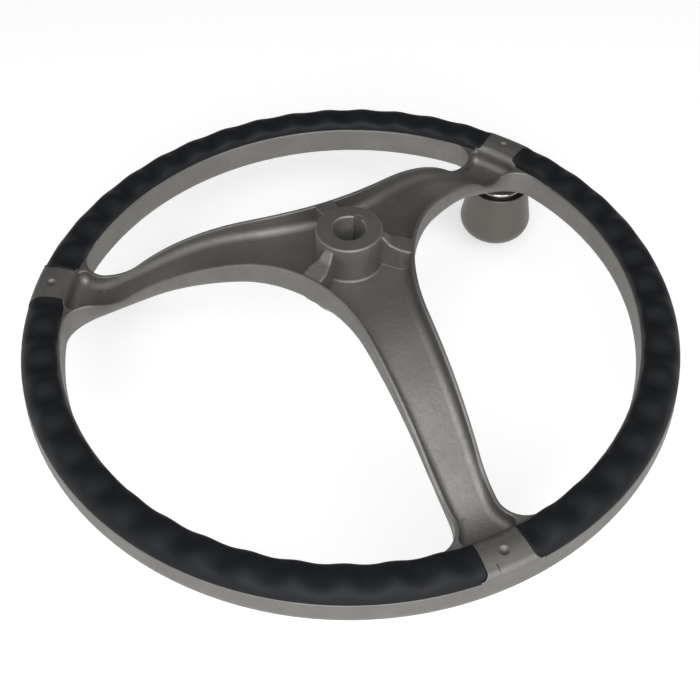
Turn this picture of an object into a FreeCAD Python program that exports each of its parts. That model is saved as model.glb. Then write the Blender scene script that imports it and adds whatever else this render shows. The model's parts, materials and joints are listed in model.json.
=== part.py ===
"""Boat steering wheel: a dished three-spoke stainless casting with finger grips and a control knob.

Frame: the wheel turns about Z. The origin is the middle of the hub's back face, where the helm shaft
comes in, and +Z points out of the back of the wheel, towards the helm. The spoke that carries the knob
lies along +X. Lengths are in millimetres.
"""
import FreeCAD, Part, Sketcher
import math
import os

Vector = FreeCAD.Vector
Z_AXIS = Vector(0, 0, 1)
SPOKES = 3
SPOKE_STEP = 360.0 / SPOKES

# Driving sizes: alias, value, what it is
SIZE_ROWS = [
    ("rim_radius", 196.85, "largest radius of the rim, half of 15.5 in"),
    ("rim_width", 23.45, "from that radius to the rim's inner wall"),
    ("rim_depth", 20.8, "from the grip seam to the front of the rim"),
    ("rim_draft", 1.2, "how much the rim's outer wall widens below the seam"),
    ("rim_edge_round", 0.5, "rounding of the rim's edge outside the grips"),
    ("rim_front_round", 11.0, "rounding of the rim's outer front edge"),
    ("seam_drop", 65.0, "from the hub's back face down to the grip seam"),
    ("crest_drop", 9.1, "from the hub's back face to the highest point of the rib crests"),
    ("crest_knee_hub", 82.8, "radius at which the rib crests would turn down"),
    ("crest_knee_rim", 28.8, "from the rim's inner wall to where the crests would turn level"),
    ("crest_reach_hub", 67.8, "how far the crests' bend by the hub reaches from its knee"),
    ("crest_reach_rim", 14.6, "how far the crests' bend by the rim reaches from its knee"),
    ("crest_round", 1.0, "rounding of the outer edge of the rib crests"),
    ("web_drop", 23.5, "from the hub's back face to the web at the hub"),
    ("web_rim_drop", 8.5, "from the grip seam down to the web at the rim"),
    ("web_knee_hub", 74.0, "radius at which the web would turn down"),
    ("web_knee_rim", 18.1, "from the rim's inner wall to where the web would turn level"),
    ("web_reach_hub", 42.4, "how far the web's bend by the hub reaches from its knee"),
    ("web_reach_rim", 8.5, "how far the web's bend by the rim reaches from its knee"),
    ("front_drop", 29.2, "from the hub's back face to the front of the spokes at the hub"),
    ("front_knee_hub", 79.1, "radius at which the front would turn down"),
    ("front_knee_rim", 6.9, "from the rim's inner wall to where the front would turn level"),
    ("front_reach_hub", 47.9, "how far the front's bend by the hub reaches from its knee"),
    ("front_reach_rim", 17.7, "how far the front's bend by the rim reaches from its knee"),
    ("front_side", 2.3, "upright side left above the front rounding where a spoke is thinnest"),
    ("spoke_width_hub", 36.6, "width of a spoke where the hub's window corners begin"),
    ("spoke_width_rim", 27.5, "width of a spoke where the flare to the rim begins"),
    ("spoke_taper_start", 75.3, "radius at which the first width is measured"),
    ("spoke_taper_end", 18.8, "from the rim's inner wall to where the second width is measured"),
    ("window_start", 37.3, "radius of the window corners nearest the hub"),
    ("flare_radius", 15.0, "fillet between spoke and rim, seen along the axis"),
    ("rib_width", 2.4, "width of the rib crests"),
    ("rib_round", 0.8, "rounding of the inner edge of the rib crests"),
    ("web_fillet", 4.5, "fillet between web and ribs"),
    ("web_corner", 4.0, "corner radius of the web pocket at the rim"),
    ("boss_radius", 18.9, "hub boss"),
    ("boss_edge", 0.8, "chamfer on the boss's outer edge"),
    ("boss_fillet", 1.6, "fillet between boss and web"),
    ("gusset_width_boss", 6.0, "thickness of the gussets at the boss"),
    ("gusset_width_rib", 12.0, "thickness of the gussets at the ribs"),
    ("gusset_spread", 10.1, "from the boss to where the gussets reach that thickness"),
    ("gusset_drop", 3.0, "from the hub's back face to the gusset crests at the boss"),
    ("gusset_shoulder", 4.8, "from the boss to where the gusset crests get gentler"),
    ("gusset_shoulder_drop", 7.6, "from the hub's back face to that shoulder"),
    ("gusset_round", 1.1, "rounding of the gusset crests"),
    ("hub_depth", 44.0, "length of the hub along the axis"),
    ("nose_radius", 28.0, "front hub boss around the shaft nut"),
    ("nose_draft", 2.8, "how much that boss narrows towards its front"),
    ("nose_round", 3.0, "rounding of the front hub boss"),
    ("nose_fillet", 4.0, "fillet between the front hub boss and the spokes"),
    ("nut_recess_radius", 22.0, "recess for the helm's shaft nut"),
    ("nut_recess_depth", 12.0, "depth of that recess"),
    ("shaft_radius", 9.525, "3/4 in helm shaft, large end of its taper"),
    ("shaft_land_radius", 8.35, "plain hole past the small end of the taper"),
    ("taper_ratio", 12.0, "length over change of diameter of the shaft taper"),
    ("shaft_chamfer", 0.6, "chamfer at the mouth of the shaft hole"),
    ("key_width", 4.76, "3/16 in keyway"),
    ("key_depth", 2.4, "keyway depth beyond the shaft"),
    ("key_angle", 5.7, "angle from the knob's spoke to the keyway, in degrees"),
    ("grip_inset_outer", 1.7, "from the rim's largest radius in to the grips' outer edge"),
    ("grip_inset_inner", 0.7, "from the rim's inner wall out to the grips' inner edge"),
    ("grip_height_low", 5.7, "height of the grips in the valleys"),
    ("grip_height_high", 7.5, "height of the grips on the finger bumps"),
    ("grip_wall", 0.6, "upright edge of the grips above the seam"),
    ("grip_gap", 0.1, "gap between a grip and its saddle"),
    ("grip_corner", 3.2, "rounding of the grips' end corners"),
    ("saddle_height", 5.2, "height of the bare steel saddles above the seam"),
    ("saddle_shoulder", 3.5, "height at which the saddles' sides would turn in"),
    ("saddle_shoulder_round", 4.5, "rounding of the saddles' shoulders"),
    ("saddle_crown_round", 26.0, "rounding along the middle of the saddles"),
    ("saddle_half_angle", 4.0, "half of the angle that a saddle takes, in degrees"),
    ("tongue_width", 12.0, "tongue under each grip"),
    ("tongue_depth", 12.0, "depth of that tongue"),
    ("dimple_radius", 3.1, "cast dimple in each saddle"),
    ("dimple_depth", 1.6, "depth of the dimples"),
    ("knob_inset", 11.4, "from the rim's largest radius in to the knob's axis"),
    ("knob_seat_radius", 10.0, "cast seat of the knob spindle"),
    ("knob_seat_root", 11.2, "radius of that seat inside the rim"),
    ("knob_seat_drop", 4.4, "from the front of the rim down to that seat"),
    ("knob_seat_height", 9.4, "height of that seat into the rim"),
    ("stud_radius", 4.0, "M8 stud of the knob spindle"),
    ("stud_length", 13.5, "length of that stud"),
    ("stud_gap", 0.1, "radial gap around the stud"),
    ("dome_neck", 9.8, "spindle flange at the wheel"),
    ("dome_radius", 17.4, "spindle flange at the washer"),
    ("dome_height", 4.2, "thickness of the spindle flange"),
    ("dome_edge", 1.4, "upright edge of the spindle flange"),
    ("dome_round", 2.0, "rounding of the spindle flange"),
    ("washer_radius", 18.4, "black washer between flange and knob"),
    ("washer_thickness", 1.2, "thickness of that washer"),
    ("washer_play", 0.2, "axial play between washer and knob"),
    ("journal_radius", 6.0, "journal of the spindle"),
    ("journal_play", 0.08, "radial play of the bushes on the journal"),
    ("bush_radius", 9.0, "outside of the bushes"),
    ("bush_space", 4.0, "space between the two bushes in the knob's bore"),
    ("bush_flange", 9.7, "flange radius of the outer bush"),
    ("bush_flange_thickness", 1.4, "flange thickness of the outer bush"),
    ("knob_top_radius", 20.7, "knob at the wheel's side"),
    ("knob_end_radius", 28.0, "knob at its free end, before rounding"),
    ("knob_height", 43.4, "height of the knob"),
    ("knob_end_round", 13.5, "rounding of the knob's free end"),
    ("knob_top_round", 0.8, "rounding of the knob's edge at the wheel"),
    ("knob_pocket_radius", 10.0, "pocket for the nut in the knob's end"),
    ("knob_pocket_depth", 15.4, "depth of that pocket"),
    ("nut_washer_radius", 9.0, "washer under the lock nut"),
    ("nut_washer_thickness", 1.6, "thickness of that washer"),
    ("nut_washer_play", 0.2, "axial play between that washer and the outer bush"),
    ("tip_radius", 4.0, "threaded tip of the spindle"),
    ("nut_across_flats", 13.0, "lock nut of the knob"),
    ("nut_height", 8.0, "height of the lock nut"),
    ("tip_past_nut", 0.4, "spindle tip beyond the lock nut"),
    ("cap_thickness", 2.8, "end cap of the knob"),
    ("cap_edge", 0.4, "chamfer on the end cap"),
    ("hub_cap_radius", 24.7, "flange of the hub cap"),
    ("hub_cap_edge", 1.2, "upright edge of the hub cap's flange"),
    ("hub_cap_dome", 3.4, "height of the hub cap's flange and dome"),
    ("hub_cap_flat", 17.0, "radius of the hub cap's flat middle"),
    ("hub_cap_spigot", 6.0, "length of the hub cap's spigot"),
    ("hub_cap_wall", 2.6, "wall of that spigot"),
    ("hub_cap_gap", 0.15, "radial gap of that spigot in the recess"),
    ("hub_ring_radius", 1.1, "section radius of the rubber ring"),
    ("hub_ring_drop", 2.6, "from the hub cap's flange to the middle of the ring"),
]
BUMPS_PER_GRIP = 14
GRIP_OVERRUN_DEG = 1.0
GUSSET_ROOT = 3.0
SMALL = 0.001

doc = FreeCAD.newDocument("boat_steering_wheel")
sheet = doc.addObject("Spreadsheet::Sheet", "Sizes")
for row, (alias, value, meaning) in enumerate(SIZE_ROWS, start=1):
    sheet.set("A%d" % row, alias)
    sheet.set("B%d" % row, str(value))
    sheet.set("C%d" % row, meaning)
    sheet.setAlias("B%d" % row, alias)
doc.recompute()


def size(alias):
    """Value of one driving size."""
    return float(getattr(sheet, alias))


def bind(target, **formulas):
    """Tie properties of an object to the sheet, with the aliases written bare."""
    for prop, formula in formulas.items():
        target.setExpression(prop.replace("__", "."), with_sheet(formula))


def with_sheet(formula):
    """Put the sheet's name before every alias in a formula."""
    words = []
    word = ""
    for letter in formula + " ":
        if letter.isalnum() or letter == "_":
            word += letter
            continue
        words.append("Sizes." + word if word in ALIASES else word)
        words.append(letter)
        word = ""
    return "".join(words).strip()


ALIASES = {row[0] for row in SIZE_ROWS}


def value_of(formula):
    """Number that a formula of aliases gives now."""
    return float(sheet.evalExpression(with_sheet(formula)))


def turned(vector, degrees):
    """A point turned about the wheel's axis."""
    return FreeCAD.Rotation(Z_AXIS, degrees).multVec(vector)


def mirrored(vector):
    """The point on the other side of the first spoke's middle plane."""
    return Vector(vector.x, -vector.y, vector.z)


def arc(centre, start, end):
    """The short arc about a centre from one point to another."""
    towards = (start - centre) + (end - centre)
    middle = centre + towards.normalize() * (start - centre).Length
    return Part.Arc(start, middle, end).toShape()


def line(start, end):
    return Part.LineSegment(start, end).toShape()


def rounded_profile(corners):
    """Closed outline in the XZ plane from (radius, height, rounding) corners, with tangent arcs."""
    points = [Vector(x, 0, z) for x, z, _ in corners]
    edges = []
    spans = []
    for index, (_, _, rounding) in enumerate(corners):
        point = points[index]
        if rounding == 0:
            spans.append((point, point))
            continue
        back = (points[index - 1] - point).normalize()
        ahead = (points[(index + 1) % len(points)] - point).normalize()
        half_angle = back.getAngle(ahead) / 2
        reach = rounding / math.tan(half_angle)
        centre = point + (back + ahead).normalize() * (rounding / math.sin(half_angle))
        start = point + back * reach
        end = point + ahead * reach
        edges.append((index, arc(centre, start, end)))
        spans.append((start, end))
    arcs = dict(edges)
    outline = []
    for index in range(len(points)):
        if index in arcs:
            outline.append(arcs[index])
        start = spans[index][1]
        end = spans[(index + 1) % len(points)][0]
        if (end - start).Length > SMALL:
            outline.append(line(start, end))
    return Part.Wire(outline)


def bend(name, knee_rim, top, bottom):
    """The dished run of a spoke surface: level, down a slope, level again."""
    hub = Vector(size(name + "_knee_hub"), 0, top)
    rim = Vector(knee_rim, 0, bottom)
    reach_hub = size(name + "_reach_hub")
    reach_rim = size(name + "_reach_rim")
    fits = min(1.0, 0.995 * (rim - hub).Length / (reach_hub + reach_rim))
    turn = math.tan(math.atan2(top - bottom, rim.x - hub.x) / 2)
    return {"hub": hub, "rim": rim,
            "bend_hub": reach_hub * fits / turn, "bend_rim": reach_rim * fits / turn}


def run_height(run, radius):
    """Height of a dished run at a radius."""
    slope = (run["rim"] - run["hub"]).normalize()
    half_turn = math.atan2(-slope.z, slope.x) / 2
    reach_hub = run["bend_hub"] * math.tan(half_turn)
    reach_rim = run["bend_rim"] * math.tan(half_turn)
    if radius <= run["hub"].x - reach_hub:
        return run["hub"].z
    if radius <= run["hub"].x + reach_hub * slope.x:
        across = radius - (run["hub"].x - reach_hub)
        return run["hub"].z - run["bend_hub"] + math.sqrt(run["bend_hub"] ** 2 - across ** 2)
    if radius <= run["rim"].x - reach_rim * slope.x:
        return run["hub"].z + (radius - run["hub"].x) * slope.z / slope.x
    if radius <= run["rim"].x + reach_rim:
        across = run["rim"].x + reach_rim - radius
        return run["rim"].z + run["bend_rim"] - math.sqrt(run["bend_rim"] ** 2 - across ** 2)
    return run["rim"].z


def lies_on(edge, run, outline):
    """Whether an edge runs along an outline, on a dished surface."""
    span = edge.LastParameter - edge.FirstParameter
    for share in (0.02, 0.3, 0.5, 0.7, 0.98):
        point = edge.valueAt(edge.FirstParameter + share * span)
        radius = math.hypot(point.x, point.y)
        if abs(point.z - run_height(run, radius)) > SMALL:
            return False
    middle = edge.valueAt(edge.FirstParameter + span / 2)
    flat = Part.Vertex(Vector(middle.x, middle.y, 0))
    return outline.distToShape(flat)[0] < SMALL


def shape_object(name, shape):
    """A drawn outline or a shape worked out from the sheet, as an object of the document."""
    item = doc.addObject("Part::Feature", name)
    item.Shape = shape
    return item


def extrusion(name, base, base_height, length):
    """A flat outline, drawn at height 0, extruded upwards from a height given as a formula."""
    item = doc.addObject("Part::Extrusion", name)
    item.Base = base
    item.DirMode = "Custom"
    item.Dir = Z_AXIS
    item.Solid = True
    bind(item, LengthFwd=length, Placement__Base__z=base_height)
    return item


def revolution(name, base, angle="360"):
    """A profile in the XZ plane turned about Z."""
    item = doc.addObject("Part::Revolution", name)
    item.Source = base
    item.Axis = Z_AXIS
    item.Base = Vector(0, 0, 0)
    item.Solid = True
    bind(item, Angle=angle)
    return item


def rounding(name, base, edges_of, radius):
    """Round the edges that a test picks from an object's shape."""
    doc.recompute()
    picked = [number for number, edge in enumerate(base.Shape.Edges, start=1) if edges_of(edge)]
    if not picked:
        raise RuntimeError("no edges to round for " + name)
    item = doc.addObject("Part::Fillet", name)
    item.Base = base
    item.Edges = [(number, radius, radius) for number in picked]
    doc.recompute()
    if item.Shape.isNull() or not item.Shape.isValid():
        raise RuntimeError("rounding failed: " + name)
    return item


def boolean(kind, name, *operands):
    """Cut, Common or MultiFuse of document objects."""
    item = doc.addObject("Part::" + kind, name)
    if kind == "MultiFuse":
        item.Shapes = list(operands)
        item.Refine = True
    else:
        item.Base, item.Tool = operands
    return item


def cylinder(name, radius, bottom, height, x="0"):
    item = doc.addObject("Part::Cylinder", name)
    bind(item, Radius=radius, Height=height, Placement__Base__z=bottom, Placement__Base__x=x)
    return item


def cone(name, radius_low, radius_high, bottom, height, x="0"):
    item = doc.addObject("Part::Cone", name)
    bind(item, Radius1=radius_low, Radius2=radius_high, Height=height)
    bind(item, Placement__Base__z=bottom, Placement__Base__x=x)
    return item


# Plan of the spokes, seen along the axis
rim_inner = size("rim_radius") - size("rim_width")
taper_end = rim_inner - size("spoke_taper_end")
taper_angle = math.atan((size("spoke_width_hub") - size("spoke_width_rim")) / 2
                        / (taper_end - size("spoke_taper_start")))
side_normal = Vector(math.sin(taper_angle), math.cos(taper_angle), 0)
side_along = Vector(math.cos(taper_angle), -math.sin(taper_angle), 0)
side_distance = Vector(taper_end, size("spoke_width_rim") / 2, 0).dot(side_normal)
corner_sine = math.sin(math.radians(SPOKE_STEP / 2) + taper_angle)
corner_radius = (size("window_start") * corner_sine - side_distance) / (1 - corner_sine)
corner_ray = turned(Vector(1, 0, 0), SPOKE_STEP / 2)
corner_centre = corner_ray * (size("window_start") + corner_radius)
flare_reach = math.sqrt((rim_inner - size("flare_radius")) ** 2
                        - (side_distance + size("flare_radius")) ** 2)
flare_centre = side_normal * (side_distance + size("flare_radius")) + side_along * flare_reach


def beyond_corner(vector):
    """The point on the other side of the first window's middle plane."""
    return turned(mirrored(vector), SPOKE_STEP)


def window_outline():
    """One window: hub corner, spoke sides, flares and the rim's inner circle."""
    hub_end = corner_centre - side_normal * corner_radius
    side_end = flare_centre - side_normal * size("flare_radius")
    rim_end = flare_centre * (rim_inner / (rim_inner - size("flare_radius")))
    hub_middle = corner_ray * size("window_start")
    rim_middle = corner_ray * rim_inner
    return Part.Wire([
        Part.Arc(beyond_corner(hub_end), hub_middle, hub_end).toShape(),
        line(hub_end, side_end),
        arc(flare_centre, side_end, rim_end),
        Part.Arc(rim_end, rim_middle, beyond_corner(rim_end)).toShape(),
        arc(beyond_corner(flare_centre), beyond_corner(rim_end), beyond_corner(side_end)),
        line(beyond_corner(side_end), beyond_corner(hub_end)),
    ])


def web_outline():
    """The web between the ribs: three arms that meet around the hub."""
    inset = size("rib_width")
    corner = size("web_corner")
    flare = size("flare_radius") + inset
    hub_end = corner_centre - side_normal * (corner_radius + inset)
    side_end = flare_centre - side_normal * flare
    reach = flare_centre.Length
    along = (reach ** 2 + (rim_inner - corner) ** 2 - (flare + corner) ** 2) / (2 * reach)
    across = math.sqrt((rim_inner - corner) ** 2 - along ** 2)
    outward = flare_centre / reach
    towards_spoke = Vector(outward.y, -outward.x, 0)
    bend_centre = outward * along + towards_spoke * across
    flare_end = flare_centre + (bend_centre - flare_centre).normalize() * flare
    rim_end = bend_centre * (rim_inner / (rim_inner - corner))
    edges = []
    for spoke in range(SPOKES):
        def at(vector):
            return turned(vector, spoke * SPOKE_STEP)

        def opposite(vector):
            return at(mirrored(vector))

        edges += [
            line(opposite(hub_end), opposite(side_end)),
            arc(opposite(flare_centre), opposite(side_end), opposite(flare_end)),
            arc(opposite(bend_centre), opposite(flare_end), opposite(rim_end)),
            Part.Arc(opposite(rim_end), at(Vector(rim_inner, 0, 0)), at(rim_end)).toShape(),
            arc(at(bend_centre), at(rim_end), at(flare_end)),
            arc(at(flare_centre), at(flare_end), at(side_end)),
            line(at(side_end), at(hub_end)),
            Part.Arc(at(hub_end), at(corner_ray * (size("window_start") - inset)),
                     at(beyond_corner(hub_end))).toShape(),
        ]
    return Part.Wire(edges)


# The dished body of the casting: a turned dish with three windows and a pocketed back
seam = -size("seam_drop")
front = seam - size("rim_depth")
crest_run = bend("crest", rim_inner - size("crest_knee_rim"), -size("crest_drop"), seam)
web_run = bend("web", rim_inner - size("web_knee_rim"), -size("web_drop"),
               seam - size("web_rim_drop"))
front_run = bend("front", rim_inner - size("front_knee_rim"), -size("front_drop"), front)

# The front rounding takes what the thinnest place of a spoke leaves for it
thinnest = min(run_height(crest_run, radius) - run_height(front_run, radius)
               for radius in range(int(size("window_start")), int(flare_centre.Length)))
front_round = thinnest - size("crest_round") - size("front_side")

# The outer wall leans out below the seam by so much that its rounding just reaches the rim's radius
rim_edge = size("rim_radius") - size("rim_draft")
rounding_start = size("rim_depth") - size("rim_front_round")
wall_lean = (rounding_start - math.sqrt(rounding_start ** 2 - 2 * size("rim_front_round")
                                        * size("rim_draft"))) / size("rim_front_round")
wall_foot = rim_edge + wall_lean * size("rim_depth")

dish_profile = shape_object("dish_profile", Part.Face(rounded_profile([
    (0, crest_run["hub"].z, 0),
    (crest_run["hub"].x, crest_run["hub"].z, crest_run["bend_hub"]),
    (crest_run["rim"].x, seam, crest_run["bend_rim"]),
    (rim_edge, seam, size("rim_edge_round")),
    (wall_foot, front, size("rim_front_round")),
    (front_run["rim"].x, front, front_run["bend_rim"]),
    (front_run["hub"].x, front_run["hub"].z, front_run["bend_hub"]),
    (0, front_run["hub"].z, 0),
])))
dish = revolution("dish", dish_profile)

window_wire = window_outline()
window_faces = []
all_windows = []
for window in range(SPOKES):
    face = Part.Face(window_wire)
    face.rotate(Vector(0, 0, 0), Z_AXIS, window * SPOKE_STEP)
    window_faces.append(face)
    all_windows += face.Edges
window_plan = shape_object("window_plan", Part.makeCompound(window_faces))
windows_outline = Part.makeCompound(all_windows)
windows = extrusion("windows", window_plan, "-seam_drop - rim_depth - 5", "seam_drop + rim_depth + 5")
open_dish = boolean("Cut", "open_dish", dish, windows)
soft_crests = rounding("soft_crests", open_dish,
                       lambda edge: lies_on(edge, crest_run, windows_outline),
                       size("crest_round"))
soft_front = rounding("soft_front", soft_crests,
                      lambda edge: lies_on(edge, front_run, windows_outline), front_round)

web_wire = web_outline()
web_plan = shape_object("web_plan", Part.Face(web_wire))
web_prism = extrusion("web_prism", web_plan, "-seam_drop - rim_depth", "seam_drop + rim_depth + 5")
above_web_profile = shape_object("above_web_profile", Part.Face(rounded_profile([
    (0, web_run["hub"].z, 0),
    (web_run["hub"].x, web_run["hub"].z, web_run["bend_hub"]),
    (web_run["rim"].x, web_run["rim"].z, web_run["bend_rim"]),
    (size("rim_radius"), web_run["rim"].z, 0),
    (size("rim_radius"), 0, 0),
    (0, 0, 0),
])))
above_web = revolution("above_web", above_web_profile)
web_block = boolean("Common", "web_block", web_prism, above_web)
web_tool = rounding("web_tool", web_block, lambda edge: lies_on(edge, web_run, web_wire),
                    size("web_fillet"))
channelled = boolean("Cut", "channelled", soft_front, web_tool)
soft_ribs = rounding("soft_ribs", channelled, lambda edge: lies_on(edge, crest_run, web_wire),
                     size("rib_round"))

# Hub: back boss with gussets, front boss around the nut recess
hub_core = -(size("web_drop") + size("front_drop")) / 2
boss_profile = shape_object("boss_profile", Part.Face(rounded_profile([
    (0, 0, 0),
    (size("boss_radius") - size("boss_edge"), 0, 0),
    (size("boss_radius"), -size("boss_edge"), 0),
    (size("boss_radius"), -size("web_drop"), size("boss_fillet")),
    (size("boss_radius") + 2 * size("boss_fillet"), -size("web_drop") - 0.2, 0),
    (size("boss_radius") + 2 * size("boss_fillet"), hub_core, 0),
    (0, hub_core, 0),
])))
boss = revolution("boss", boss_profile)
nose_profile = shape_object("nose_profile", Part.Face(rounded_profile([
    (0, -size("front_drop") + 1, 0),
    (size("nose_radius") + 2 * size("nose_fillet"), -size("front_drop") + 1, 0),
    (size("nose_radius"), -size("front_drop") - 0.8, size("nose_fillet")),
    (size("nose_radius") - size("nose_draft"), -size("hub_depth"), size("nose_round")),
    (0, -size("hub_depth"), 0),
])))
nose = revolution("nose", nose_profile)


def gusset():
    """One gusset along +X: a wedge in plan whose crest falls from the boss to the ribs."""
    foot = hub_core
    reach = size("window_start") - size("rib_width") / 2 - size("rib_round") / 2
    shoulder = size("boss_radius") + size("gusset_shoulder")
    crest = Part.Face(rounded_profile([
        (0, foot, 0),
        (0, -size("gusset_drop"), 0),
        (size("boss_radius") + 0.5, -size("gusset_drop"), 2.0),
        (shoulder, -size("gusset_shoulder_drop"), 4.0),
        (reach, run_height(crest_run, reach) - 0.3, 0),
        (reach, foot, 0),
    ]))
    crest.translate(Vector(0, -size("gusset_width_rib"), 0))
    side_view = crest.extrude(Vector(0, 2 * size("gusset_width_rib"), 0))
    start = size("boss_radius") - GUSSET_ROOT
    spread = size("boss_radius") + size("gusset_spread")
    far = size("gusset_width_rib") / 2
    widening = (far - size("gusset_width_boss") / 2) / size("gusset_spread")
    near = size("gusset_width_boss") / 2 - widening * GUSSET_ROOT
    plan = Part.Face(Part.makePolygon([
        Vector(start, -near, foot), Vector(spread, -far, foot), Vector(reach + 1, -far, foot),
        Vector(reach + 1, far, foot), Vector(spread, far, foot), Vector(start, near, foot),
        Vector(start, -near, foot),
    ]))
    block = plan.extrude(Vector(0, 0, -foot)).common(side_view)
    crests = [edge for edge in block.Edges if runs_along_crest(edge, shoulder)]
    return block.makeFillet(size("gusset_round"), crests)


def runs_along_crest(edge, shoulder):
    """Whether an edge is one of the two long ones along the top of a gusset."""
    middle = edge.valueAt((edge.FirstParameter + edge.LastParameter) / 2)
    across = [abs(vertex.Point.y) for vertex in edge.Vertexes]
    low = min(run_height(crest_run, shoulder), -size("gusset_shoulder_drop")) - 3
    one_sided = min(across) > SMALL and edge.Vertexes[0].Point.y * edge.Vertexes[-1].Point.y > 0
    return one_sided and middle.z > low and abs(edge.Vertexes[0].X - edge.Vertexes[-1].X) > SMALL


gussets = []
for spoke in range(SPOKES):
    wedge = gusset()
    wedge.rotate(Vector(0, 0, 0), Z_AXIS, (spoke + 0.5) * SPOKE_STEP)
    gussets.append(shape_object("gusset_%d" % (spoke + 1), wedge))


# Rim: bare saddles between the grips, and the channel that holds the grips' tongues
grip_inner = rim_inner + size("grip_inset_inner")
grip_outer = size("rim_radius") - size("grip_inset_outer")
grip_middle = (grip_inner + grip_outer) / 2


def grip_section(height):
    """Low half-round section of a grip, which stands on the seam."""
    shoulder = seam + size("grip_wall")
    inside = Vector(grip_inner, 0, seam)
    outside = Vector(grip_outer, 0, seam)
    crown = Vector(grip_middle, 0, seam + height)
    inside_shoulder = Vector(grip_inner, 0, shoulder)
    outside_shoulder = Vector(grip_outer, 0, shoulder)
    return Part.Wire([
        line(inside, outside),
        line(outside, outside_shoulder),
        Part.Arc(outside_shoulder, crown, inside_shoulder).toShape(),
        line(inside_shoulder, inside),
    ])


def saddle_section():
    """Section of a saddle: flush with the rim's walls, with round shoulders and a soft crown."""
    below = seam - size("rim_edge_round") - size("crest_round")
    outer_below = rim_edge + wall_lean * (seam - below)
    outer_shoulder = rim_edge - wall_lean * size("saddle_shoulder")
    shoulder = seam + size("saddle_shoulder")
    return rounded_profile([
        (rim_inner, below, 0),
        (rim_inner, shoulder, size("saddle_shoulder_round")),
        (grip_middle, seam + size("saddle_height"), size("saddle_crown_round")),
        (outer_shoulder, shoulder, size("saddle_shoulder_round")),
        (outer_below, below, 0),
    ])


def sector(inner, outer, half_angle, corner):
    """Plan of a stretch of rim, centred on +X, with rounded end corners."""
    edge_angle = math.radians(half_angle)
    end_normal = Vector(math.sin(edge_angle), -math.cos(edge_angle), 0)
    end_along = Vector(math.cos(edge_angle), math.sin(edge_angle), 0)
    outer_centre = end_normal * corner + end_along * math.sqrt((outer - corner) ** 2 - corner ** 2)
    inner_centre = end_normal * corner + end_along * math.sqrt((inner + corner) ** 2 - corner ** 2)
    outer_start = outer_centre * (outer / (outer - corner))
    outer_end = outer_centre - end_normal * corner
    inner_end = inner_centre - end_normal * corner
    inner_start = inner_centre * (inner / (inner + corner))
    return Part.Wire([
        Part.Arc(mirrored(outer_start), Vector(outer, 0, 0), outer_start).toShape(),
        arc(outer_centre, outer_start, outer_end),
        line(outer_end, inner_end),
        arc(inner_centre, inner_end, inner_start),
        Part.Arc(inner_start, Vector(inner, 0, 0), mirrored(inner_start)).toShape(),
        arc(mirrored(inner_centre), mirrored(inner_start), mirrored(inner_end)),
        line(mirrored(inner_end), mirrored(outer_end)),
        arc(mirrored(outer_centre), mirrored(outer_end), mirrored(outer_start)),
    ])


def ring_sector(inner, outer, bottom, top, start, sweep):
    """A stretch of a plain ring."""
    profile = Part.makePolygon([Vector(inner, 0, bottom), Vector(outer, 0, bottom),
                                Vector(outer, 0, top), Vector(inner, 0, top),
                                Vector(inner, 0, bottom)])
    ring = Part.Face(profile).revolve(Vector(0, 0, 0), Z_AXIS, sweep)
    ring.rotate(Vector(0, 0, 0), Z_AXIS, start)
    return ring


grip_half_angle = SPOKE_STEP / 2 - size("saddle_half_angle")
gap_angle = math.degrees(size("grip_gap") / rim_inner)
overhang = 1.2 * size("grip_corner") / rim_inner
saddle_half = size("saddle_half_angle") + math.degrees(overhang)
edge_room = 0.4


def grip_prism(half_angle, corner, room):
    """Upright block with the plan of a grip, centred on +X, from the seam upwards."""
    plan = Part.Face(sector(grip_inner - room, grip_outer + room, half_angle, corner))
    plan.translate(Vector(0, 0, seam))
    return plan.extrude(Vector(0, 0, size("seam_drop")))


saddles = []
for spoke in range(SPOKES):
    saddle = Part.Face(saddle_section())
    saddle = saddle.revolve(Vector(0, 0, 0), Z_AXIS, 2 * saddle_half)
    saddle.rotate(Vector(0, 0, 0), Z_AXIS, -saddle_half)
    for side in (-1, 1):
        block = grip_prism(grip_half_angle, size("grip_corner"), SMALL)
        block.rotate(Vector(0, 0, 0), Z_AXIS, side * SPOKE_STEP / 2)
        saddle = saddle.cut(block)
    saddle.rotate(Vector(0, 0, 0), Z_AXIS, spoke * SPOKE_STEP)
    saddles.append(shape_object("saddle_%d" % (spoke + 1), saddle))

channel_gap = size("grip_gap")
channels = []
for grip in range(SPOKES):
    channels.append(shape_object("grip_channel_%d" % (grip + 1), ring_sector(
        grip_middle - size("tongue_width") / 2 - channel_gap,
        grip_middle + size("tongue_width") / 2 + channel_gap,
        seam - size("tongue_depth") - channel_gap, seam + 1,
        (grip + 0.5) * SPOKE_STEP - grip_half_angle + 2, 2 * grip_half_angle - 4)))

knob_axis = "rim_radius - knob_inset"
knob_seat_level = "-seam_drop - rim_depth - knob_seat_drop"
knob_seat = cone("knob_seat", "knob_seat_radius", "knob_seat_root", knob_seat_level,
                 "knob_seat_height", x=knob_axis)
raw_casting = boolean("MultiFuse", "raw_casting", soft_ribs, boss, nose, knob_seat,
                      *gussets, *saddles)

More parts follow.
